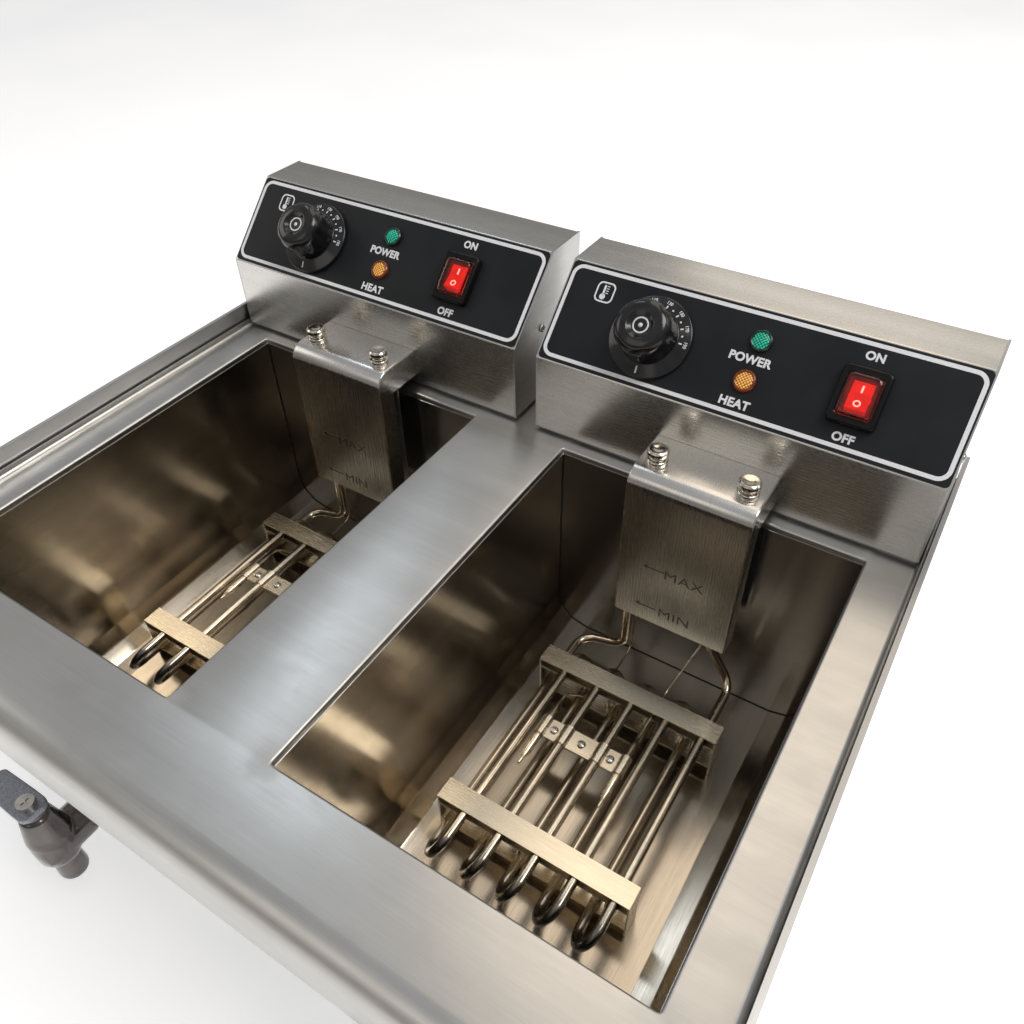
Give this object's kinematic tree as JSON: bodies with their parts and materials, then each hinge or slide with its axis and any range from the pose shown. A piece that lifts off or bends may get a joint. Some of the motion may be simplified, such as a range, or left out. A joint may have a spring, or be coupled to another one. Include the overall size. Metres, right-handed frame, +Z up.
{
  "type": "deep fryer",
  "caption": "Countertop electric deep fryer with side-by-side oil tanks in a steel cabinet, drain taps, and lift-off control heads that carry the heating elements and controls.",
  "frame": {"origin": "middle of the footprint at the underside of the feet, on the counter", "axes": "+Z up, +Y from the user towards the control heads at the back, +X to the user's right"},
  "size_m": [0.58, 0.4984, 0.3921],
  "materials": {
    "cabinet_steel": "brushed stainless sheet, satin",
    "tank_steel": "drawn stainless sheet, satin, darker",
    "head_steel": "brushed stainless sheet, satin",
    "cover_steel": "brushed stainless sheet, fine scratches",
    "element_steel": "smooth sheathed tube, warm grey",
    "bracket_steel": "cut stainless strip, satin",
    "fastener_steel": "bright screws",
    "shaft_steel": "turned steel",
    "stud_chrome": "bright nickel plate",
    "tap_metal": "plated brass, slightly dull",
    "lever_metal": "cast, grainy, grey",
    "panel_black": "satin printed overlay",
    "knob_black": "glossy moulded plastic",
    "thermostat_body": "moulded insulating body",
    "lamp_green": "faceted clear green lens",
    "lamp_amber": "faceted clear amber lens, lit",
    "switch_black": "black moulded frame",
    "rocker_red": "clear red rocker, lit from within",
    "boot_clear": "clear soft splash cover",
    "gland_black": "moulded nylon",
    "bulb_copper": "drawn copper tube and bulb",
    "foot_rubber": "moulded rubber"
  },
  "bodies": {
    "cabinet": {"deck": "cabinet_steel", "left_side_panel": "cabinet_steel", "right_side_panel": "cabinet_steel", "front_panel": "cabinet_steel", "rear_panel": "cabinet_steel", "base_plate": "cabinet_steel", "feet": "foot_rubber", "cabinet_screws": "fastener_steel", "left_tank": "tank_steel", "right_tank": "tank_steel", "left_tap_body": "tap_metal", "right_tap_body": "tap_metal"},
    "left_head": {"left_head_shell": "head_steel", "left_end_plates": "head_steel", "left_chassis": "head_steel", "left_control_label": "panel_black", "left_thermostat": "thermostat_body", "left_limiter": "thermostat_body", "left_power_lamp": "lamp_green", "left_heat_lamp": "lamp_amber", "left_switch_body": "switch_black", "left_switch_boot": "boot_clear", "left_cord_gland": "gland_black", "left_element_cover": "cover_steel", "left_hanger_studs": "stud_chrome", "left_heating_element": "element_steel", "left_element_brackets": "bracket_steel", "left_bulb_clamp": "bracket_steel", "left_sensor_bulbs": "bulb_copper", "left_head_screws": "fastener_steel"},
    "left_knob_body": {"left_knob": "knob_black", "left_knob_shaft": "shaft_steel"},
    "left_rocker_body": {"left_switch_rocker": "rocker_red"},
    "left_tap_turning": {"left_tap_ball": "tap_metal", "left_tap_lever": "lever_metal", "left_tap_screw": "fastener_steel"},
    "right_head": {"right_head_shell": "head_steel", "right_end_plates": "head_steel", "right_chassis": "head_steel", "right_control_label": "panel_black", "right_thermostat": "thermostat_body", "right_limiter": "thermostat_body", "right_power_lamp": "lamp_green", "right_heat_lamp": "lamp_amber", "right_switch_body": "switch_black", "right_switch_boot": "boot_clear", "right_cord_gland": "gland_black", "right_element_cover": "cover_steel", "right_hanger_studs": "stud_chrome", "right_heating_element": "element_steel", "right_element_brackets": "bracket_steel", "right_bulb_clamp": "bracket_steel", "right_sensor_bulbs": "bulb_copper", "right_head_screws": "fastener_steel"},
    "right_knob_body": {"right_knob": "knob_black", "right_knob_shaft": "shaft_steel"},
    "right_rocker_body": {"right_switch_rocker": "rocker_red"},
    "right_tap_turning": {"right_tap_ball": "tap_metal", "right_tap_lever": "lever_metal", "right_tap_screw": "fastener_steel"}
  },
  "joints": [
    {"name": "left_head_lift", "type": "slide", "parent": "cabinet", "child": "left_head", "axis": [0, 0, 1], "range_m": [0, 0.3]},
    {"name": "left_knob_turn", "type": "hinge", "parent": "left_head", "child": "left_knob_body", "pos_m": [-0.2103, 0.16861, 0.35634], "axis": [0, -0.6982, 0.7159], "range_deg": [-270, 0]},
    {"name": "left_switch_rock", "type": "hinge", "parent": "left_head", "child": "left_rocker_body", "pos_m": [-0.0734, 0.16932, 0.35704], "axis": [1, 0, 0], "range_deg": [0, 16]},
    {"name": "left_tap_turn", "type": "hinge", "parent": "cabinet", "child": "left_tap_turning", "pos_m": [-0.1475, -0.23325, 0.1], "axis": [0, 0, 1], "range_deg": [0, 90]},
    {"name": "right_head_lift", "type": "slide", "parent": "cabinet", "child": "right_head", "axis": [0, 0, 1], "range_m": [0, 0.3]},
    {"name": "right_knob_turn", "type": "hinge", "parent": "right_head", "child": "right_knob_body", "pos_m": [0.0828, 0.16861, 0.35634], "axis": [0, -0.6982, 0.7159], "range_deg": [-270, 0]},
    {"name": "right_switch_rock", "type": "hinge", "parent": "right_head", "child": "right_rocker_body", "pos_m": [0.2197, 0.16932, 0.35704], "axis": [1, 0, 0], "range_deg": [0, 16]},
    {"name": "right_tap_turn", "type": "hinge", "parent": "cabinet", "child": "right_tap_turning", "pos_m": [0.1475, -0.23325, 0.1], "axis": [0, 0, 1], "range_deg": [0, 90]}
  ]
}
